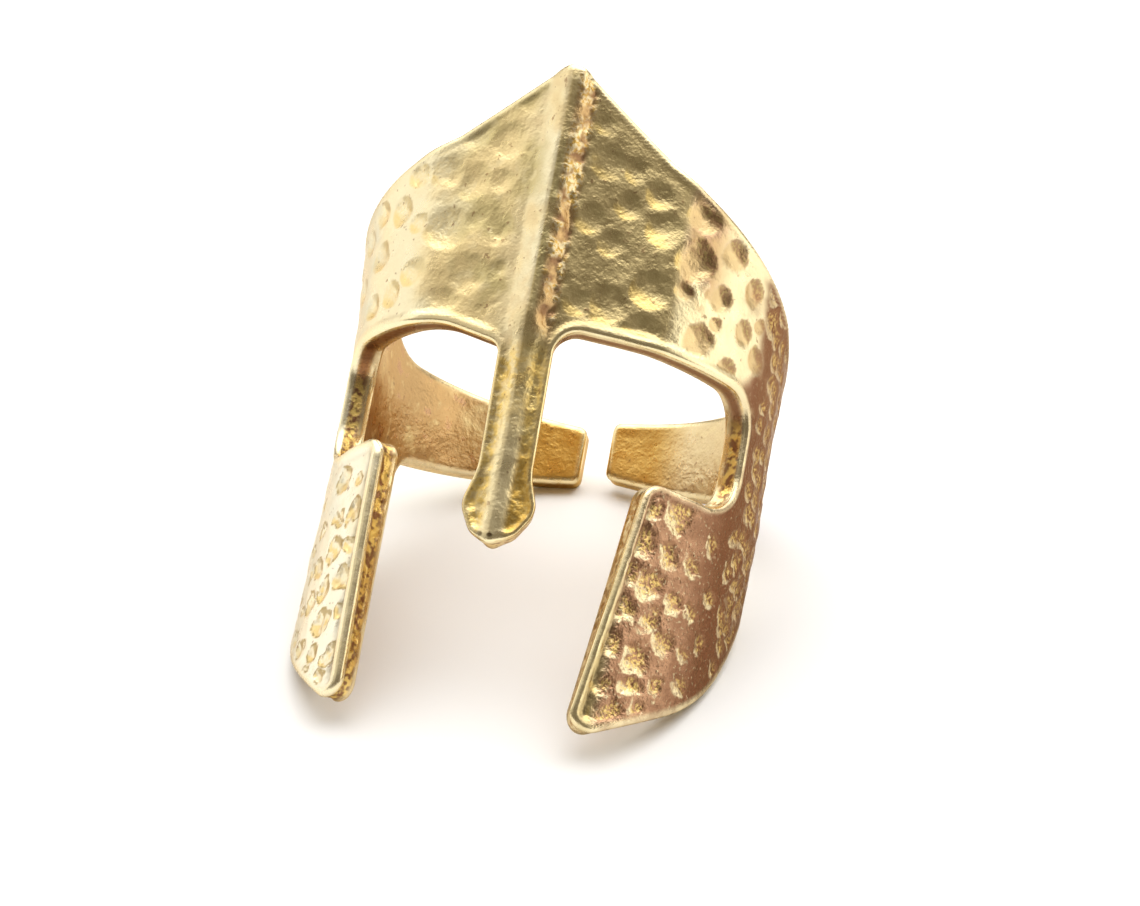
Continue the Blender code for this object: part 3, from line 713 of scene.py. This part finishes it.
class Brass(Finish):
    """Cast brass: satin plates gone olive in patches, painted shade on the right plate, painted reflections
    and highlights on the sides and the ridge, rims worn bright with a painted highlight, tarnish specks, and
    painted shade in the dents, grooves and pits.

    Each coat lies over the ones before it, as strong as its masks and its share multiplied.
    """

    def __init__(self):
        super().__init__("brass")
        self.along, self.up = self.mask("blank_along"), self.mask("blank_up")
        self.from_ridge = self.math("ABSOLUTE", self.along, 0.0)
        self.dent, self.shade = self.mask("dent"), self.mask("shade")
        self.edge, self.outer = self.mask("edge"), self.mask("outer")
        self.cloud, self.patch = self.noise(CLOUD_SIZE), self.noise(PATCH_SIZE, 3.0)
        self.speck, self.pore = self.noise(SPECK_SIZE, 3.0), self.noise(PORE_SIZE)
        cloud_shift = self.span(self.cloud, 0.3, 0.7, -CLOUD_SHAKE, CLOUD_SHAKE)
        patch_shift = self.span(self.patch, 0.3, 0.7, -PATCH_SHAKE, PATCH_SHAKE)
        self.shaken = self.math("ADD", self.along, cloud_shift)
        self.height = self.math("ADD", self.up, patch_shift)
        self.in_dent = self.span(self.dent, 0.02, 0.45)
        # Painted shade on the dents' walls that DENT_SHADE_WAY points at, painted highlights on the walls it
        # comes from.
        self.painted_shade_wall = self.span(self.shade, 0.05, 0.75)
        self.painted_highlight_wall = self.span(self.shade, -0.05, -0.75)
        self.right_side = self.span(self.along, *RIGHT_CREASE)
        self.low = self.span(self.height, *WARM_REFLECTION_UP)
        self.colour = self.blend(self.cloud, 0.36, 0.60, OLIVE_BRASS, GOLD_BRASS)

    def coat(self, tone, *shares):
        """Lays a tone over the coats so far, as strong as its shares multiplied together."""
        self.colour = self.mix(self.times(*shares), self.colour, tone)

    def coat_plates(self):
        self.coat(PALE_BRASS, self.span(self.patch, 0.52, 0.72), 0.4)
        # Painted shade darkens the right plate.
        right = self.span(self.shaken, *RIGHT_PLATE)
        self.coat(OLIVE_BRASS, right, 0.85)
        self.coat(TAN_GOLD, right, 0.35)
        # Painted highlights on the right plate's dent walls, and painted shade on every dent's opposite
        # wall.
        self.coat(YELLOW_BRASS, right, self.painted_highlight_wall, 0.6)
        self.coat(OLIVE_BRASS, self.painted_shade_wall, 0.4)
        # A painted highlight down the ridge's left flank, mottled with tan.
        flank = self.span(self.shaken, *LEFT_FLANK_STARTS)
        flank = self.times(flank, self.span(self.along, *LEFT_FLANK_ENDS))
        self.coat(IVORY_HIGHLIGHT, flank, self.span(self.cloud, 0.62, 0.38, 0.25, 0.8))
        self.coat(TAN_GOLD, flank, self.span(self.patch, 0.46, 0.66, 0.0, 0.4))

    def coat_right_side(self):
        # The right side gets a painted highlight, a patch of painted shade where the crown turns to it, and
        # painted shade in its dents, darkest on their far walls.
        self.coat(PALE_BRASS, self.right_side)
        saddle = self.times(self.span(self.along, *SADDLE_ALONG), self.span(self.height, *SADDLE_UP))
        saddle_shade_tone = self.blend(self.patch, 0.4, 0.6, COPPER_TONE_AND_REFLECTION, TAN_BRASS)
        self.coat(saddle_shade_tone, saddle, self.right_side, 0.85)
        self.coat(TAN_GOLD, self.right_side, self.in_dent, 0.85)
        wall_shade_tone = self.blend(self.speck, 0.45, 0.65, BROWN_TARNISH_AND_SHADE, OLIVE_SHADE)
        self.coat(wall_shade_tone, self.right_side, self.painted_shade_wall, 0.78)

    def coat_warm_reflection(self):
        """A painted warm reflection over the right side's rear and cheek guard, with painted shade and
        painted highlights in their dents.
        """
        rear = self.times(self.span(self.shaken, *WARM_REFLECTION_REAR), 0.9)
        warm_reflection = self.times(self.right_side, self.math("MAXIMUM", self.low, rear))
        # The warm coppery coat is a painted reflection, darker towards the rear.
        self.coat(self.blend(self.patch, 0.35, 0.65, COPPER_TONE_AND_REFLECTION, RED_REFLECTION), warm_reflection)
        self.coat(DARK_REFLECTION, warm_reflection, self.span(self.along, *DARK_REFLECTION_ALONG))
        self.coat(BROWN_TARNISH_AND_SHADE, warm_reflection, self.painted_shade_wall, 0.65)
        # Painted glints on the dents' lit walls, painted highlights on their floors, and painted glinting
        # specks.
        glint = self.times(self.painted_highlight_wall, self.span(self.patch, 0.35, 0.5, 0.5, 1.0))
        glint = self.times(glint, self.span(self.speck, 0.34, 0.50, 0.45, 1.0))
        self.coat(PALE_BRASS, warm_reflection, glint, self.span(self.along, *GLINTS_THIN_OUT, 1.0, 0.7))
        lit_dent_floor = self.times(self.span(self.dent, 0.25, 0.8), self.span(self.speck, 0.44, 0.58))
        self.coat(YELLOW_BRASS, warm_reflection, lit_dent_floor, self.span(self.along, *LIT_FLOOR_THINS_OUT, 0.8, 0.5))
        glint_specks = self.times(warm_reflection, self.span(self.speck, 0.60, 0.70))
        self.coat(PALE_BRASS, glint_specks, self.span(self.along, *GLINTS_THIN_OUT, 0.5, 0.2))

    def coat_left_side(self):
        # The left side gets a painted white reflection, whiter lower down and less white in its dents,
        # painted shade and highlights on the dents' walls, and a cool painted reflection further back.
        side = self.span(self.shaken, *LEFT_SIDE)
        side = self.times(side, self.span(self.height, *LEFT_SIDE_UP, 0.80, 1.0))
        self.coat(self.blend(self.height, *WHITE_REFLECTION_UP, IVORY_HIGHLIGHT, WHITE_REFLECTION), side)
        self.coat(self.blend(self.speck, 0.40, 0.56, PALE_BRASS, YELLOW_BRASS), side, self.in_dent, 0.35)
        self.coat(OLIVE_SHADE, side, self.span(self.shade, 0.35, 0.95), 0.75)
        self.coat(YELLOW_BRASS, side, self.span(self.shade, -0.2, -0.9), 0.7)
        cool_reflection = self.times(self.span(self.shaken, *COOL_REFLECTION_STARTS), self.span(self.shaken, *COOL_REFLECTION_ENDS))
        self.coat(COOL_REFLECTION, cool_reflection, self.span(self.patch, 0.3, 0.7, 0.25, 0.6))

    def coat_dent_lines(self):
        """A broken line of painted shade round each dent low on the left half."""
        line = self.times(self.span(self.dent, 0.0, 0.08), self.span(self.dent, 0.30, 0.14))
        line = self.times(line, self.span(self.pore, 0.38, 0.54), self.span(self.height, *DENT_LINES_UP))
        self.coat(OLIVE_SHADE, line, self.span(self.shaken, *DENT_LINES_ALONG), 0.8)

    def coat_nose(self):
        nose = self.times(self.span(self.up, *NOSE_UP), self.span(self.from_ridge, *NOSE_REACH))
        from_keel = self.math("ABSOLUTE", self.math("SUBTRACT", self.along, NOSE_KEEL[0]), 0.0)
        keel = self.times(nose, self.span(from_keel, *NOSE_KEEL_REACH))
        self.coat(YELLOW_BRASS, nose, self.span(self.pore, 0.40, 0.60, 0.4, 1.0))
        deep = self.times(self.span(self.along, *DEEP_NOSE_ALONG), self.span(self.up, *DEEP_NOSE_UP))
        self.coat(DEEP_GOLD, nose, deep, self.span(self.speck, 0.36, 0.56, 0.4, 1.0))
        self.coat(PALE_BRASS, keel, self.span(self.up, *NOSE_KEEL_UP, 0.2, 0.9))
        for pit_along, pit_up, radius in LIP_PITS:
            across = self.math("POWER", self.math("SUBTRACT", self.along, pit_along), 2.0)
            down = self.math("POWER", self.math("SUBTRACT", self.up, pit_up), 2.0)
            self.coat(CREVICE_SHADE, self.span(self.math("ADD", across, down), radius**2, (0.4 * radius) ** 2))

    def coat_ridge_flank(self):
        # Painted shade down the ridge's rough right flank, with painted glints on its raised bits.
        self.coat(self.blend(self.patch, 0.4, 0.6, TAN_BRASS, BROWN_TARNISH_AND_SHADE), self.mask("flank"), 0.9)
        self.coat(self.blend(self.speck, 0.40, 0.56, DEEP_GOLD, PALE_BRASS), self.mask("spark"), 0.85)

    def coat_inside(self):
        # The inside is a darker, tanner copy of the brass that stands in for painted shade, with a painted
        # highlight on its stretch far along.
        inner = self.blend(self.cloud, 0.28, 0.50, TAN_GOLD, TAN_BRASS)
        inner = self.mix(self.times(self.span(self.patch, 0.54, 0.72), 0.7), inner, GOLD_BRASS)
        inner = self.mix(self.times(self.span(self.patch, 0.42, 0.28), 0.7), inner, COPPER_TONE_AND_REFLECTION)
        inner = self.mix(self.times(self.span(self.shaken, *LIT_INSIDE), 0.6), inner, PALE_BRASS)
        self.coat(inner, self.span(self.outer, 0.7, 0.2))

    def coat_cuts(self):
        """The cut edges: sawn brass on the cheek guards, painted shade under the brow, plain gold elsewhere.
        """
        right_cut = self.blend(self.pore, 0.42, 0.62, PALE_BRASS, TAN_BRASS)
        left_cut = self.blend(self.pore, 0.42, 0.60, YELLOW_BRASS, BROWN_TARNISH_AND_SHADE)
        on_right_cheek = self.times(self.span(self.up, *CHEEK_CUT_UP), self.span(self.along, *RIGHT_CUT))
        shaded_brow_cut = self.times(self.span(self.up, *BROW_CUT_FOOT), self.span(self.up, *BROW_CUT_TOP))
        plain = self.math("MAXIMUM", self.span(self.up, *CROWN_CUT), self.span(self.from_ridge, *REAR_CUT))
        tone = self.mix(on_right_cheek, left_cut, right_cut)
        tone = self.mix(shaded_brow_cut, tone, BROWN_TARNISH_AND_SHADE)
        tone = self.mix(self.times(plain, 0.8), tone, GOLD_BRASS)
        self.coat(tone, self.mask("cut"))

    def coat_rims(self):
        self.coat(DEEP_GOLD, self.span(self.from_ridge, *BAND_ENDS), 0.85)
        # The rims are worn bright, and their pale coat also stands in for a painted highlight.
        self.coat(PALE_BRASS, self.edge, self.span(self.patch, 0.3, 0.7, 0.9, 0.45))
        # Painted shade along the groove behind the raised beads.
        self.coat(CREVICE_SHADE, self.mask("groove"), self.span(self.patch, 0.3, 0.6, 0.9, 0.4))
        off_edge = self.math("SUBTRACT", 1.0, self.edge)
        self.coat(BROWN_TARNISH_AND_SHADE, self.span(self.pore, 0.66, 0.74), off_edge, 0.6)

    def set_surface(self):
        """Gives the shader its colour, its satin and its grain, which the rims have worn off."""
        inputs = self.shader.inputs
        self.put(inputs["Base Color"], self.colour)
        inputs["Metallic"].default_value = 1.0
        inputs["Specular Tint"].default_value = GRAZING_TINT
        satin = self.span(self.patch, 0.3, 0.7, 0.26, 0.38)
        self.put(inputs["Roughness"], self.math("SUBTRACT", satin, self.times(self.edge, 0.08)))
        worn = self.math("SUBTRACT", 1.0, self.times(self.edge, 0.8))
        on_warm_reflection = self.times(self.low, self.right_side, self.outer, 1.5)
        coarse = self.times(worn, self.math("ADD", on_warm_reflection, 0.75))
        fine_bump = self.bump(self.times(self.speck, coarse), SPECK_DEPTH, 1.0)
        self.put(inputs["Normal"], self.bump(self.times(self.pore, coarse), PORE_DEPTH, 0.8, fine_bump))


def brass():
    metal = Brass()
    metal.coat_plates()
    metal.coat_right_side()
    metal.coat_warm_reflection()
    metal.coat_left_side()
    metal.coat_dent_lines()
    metal.coat_nose()
    metal.coat_ridge_flank()
    metal.coat_inside()
    metal.coat_cuts()
    metal.coat_rims()
    metal.set_surface()
    return metal.material


def make_ring():
    mesh = ring_mesh()
    mesh.transform(resting_place())
    mesh.name = "hammered_ring"
    mesh.shade_smooth()
    mesh.materials.append(brass())
    ring = bpy.data.objects.new("hammered_ring", mesh)
    bpy.context.scene.collection.objects.link(ring)
    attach(ring, "root")
    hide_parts("helmet_ring")


# Camera, as it stood to the ring; lengths in millimetres.
CAMERA_AZIMUTH = math.radians(13.1)
CAMERA_ELEVATION = math.radians(-14.8)
CAMERA_ROLL = math.radians(10.4)
CAMERA_DISTANCE = 200.0
FOCAL_PIXELS = 3964.0                # focal length, in pixels of the photo
SENSOR = 36.0
RING_CENTRE_UP = -2.47               # up the blank
CENTRE_OFFSET = (0.79, -0.15)        # from the ring's centre to the frame's middle, right and up


def make_camera():
    a, e, r = CAMERA_AZIMUTH, CAMERA_ELEVATION, CAMERA_ROLL
    back = Vector((math.sin(a) * math.cos(e), -math.cos(a) * math.cos(e), math.sin(e)))
    right = Vector((math.cos(a), math.sin(a), 0))
    up = back.cross(right)
    image_right = right * math.cos(r) + up * math.sin(r)
    image_up = up * math.cos(r) - right * math.sin(r)
    aim = Vector((0, 0, RING_CENTRE_UP)) + image_right * CENTRE_OFFSET[0] + image_up * CENTRE_OFFSET[1]
    place = resting_place()
    turn = place.to_3x3().normalized()
    axes = Matrix([turn @ image_right, turn @ image_up, turn @ back]).transposed()
    camera = bpy.data.objects.new("camera", bpy.data.cameras.new("camera"))
    camera.data.sensor_width = SENSOR
    camera.data.lens = FOCAL_PIXELS * SENSOR / PHOTO_WIDTH
    camera.data.clip_start = 0.01
    camera.matrix_world = Matrix.Translation(place @ (aim + back * CAMERA_DISTANCE)) @ axes.to_4x4()
    bpy.context.scene.collection.objects.link(camera)
    bpy.context.scene.camera = camera


FLOOR_HALF_WIDTH = 1.5               # metres
FLOOR_COLOUR = (0.86, 0.855, 0.85, 1)


def make_floor():
    bm = bmesh.new()
    bmesh.ops.create_grid(bm, x_segments=1, y_segments=1, size=FLOOR_HALF_WIDTH)
    mesh = bpy.data.meshes.new("floor")
    bm.to_mesh(mesh)
    bm.free()
    floor = bpy.data.objects.new("floor", mesh)
    bpy.context.scene.collection.objects.link(floor)
    material = bpy.data.materials.new("pale_floor")
    material.use_nodes = True
    shader = material.node_tree.nodes["Principled BSDF"]
    shader.inputs["Base Color"].default_value = FLOOR_COLOUR
    shader.inputs["Roughness"].default_value = 0.8
    shader.inputs["Specular IOR Level"].default_value = 0.2
    mesh.materials.append(material)


# The studio's soft sources: azimuth (0 in front, 90 right), elevation, where its light starts to
# fall off and where it ends (degrees from its middle), and its colour times its brightness.
SOFT_SOURCES = {
    "left bank": (-66, 40, 8, 36, (0.44, 0.42, 0.39)),
    "left low": (-104, 14, 12, 36, (0.98, 0.98, 0.97)),
    "right low": (101, 9, 8, 30, (1.55, 1.5, 1.38)),
    "back": (178, 58, 25, 62, (2.7, 2.7, 2.7)),
}
ROOM = (0.23, 0.20, 0.16, 1)


def direction(azimuth, elevation):
    a, e = math.radians(azimuth), math.radians(elevation)
    return (math.sin(a) * math.cos(e), -math.cos(a) * math.cos(e), math.sin(e))


def studio_world():
    """A dim warm room with a few large soft sources, all as light from far away."""
    world = bpy.data.worlds.new("studio")
    world.use_nodes = True
    tree = world.node_tree
    way = tree.nodes.new("ShaderNodeTexCoord").outputs["Generated"]
    total = None
    for azimuth, elevation, inner, outer, colour in SOFT_SOURCES.values():
        facing = tree.nodes.new("ShaderNodeVectorMath")
        facing.operation = "DOT_PRODUCT"
        facing.inputs[1].default_value = direction(azimuth, elevation)
        tree.links.new(way, facing.inputs[0])
        fall = tree.nodes.new("ShaderNodeMapRange")
        fall.interpolation_type = "SMOOTHSTEP"
        fall.inputs["From Min"].default_value = math.cos(math.radians(outer))
        fall.inputs["From Max"].default_value = math.cos(math.radians(inner))
        tree.links.new(facing.outputs["Value"], fall.inputs["Value"])
        lit = tree.nodes.new("ShaderNodeVectorMath")
        lit.operation = "MULTIPLY_ADD"
        lit.inputs[1].default_value = colour
        tree.links.new(fall.outputs["Result"], lit.inputs[0])
        if total is None:
            lit.inputs[2].default_value = ROOM[:3]
        else:
            tree.links.new(total, lit.inputs[2])
        total = lit.outputs["Vector"]
    tree.links.new(total, tree.nodes["Background"].inputs["Color"])
    bpy.context.scene.world = world
    bpy.context.scene.view_settings.view_transform = "Standard"


make_camera()
make_floor()
studio_world()
make_ring()
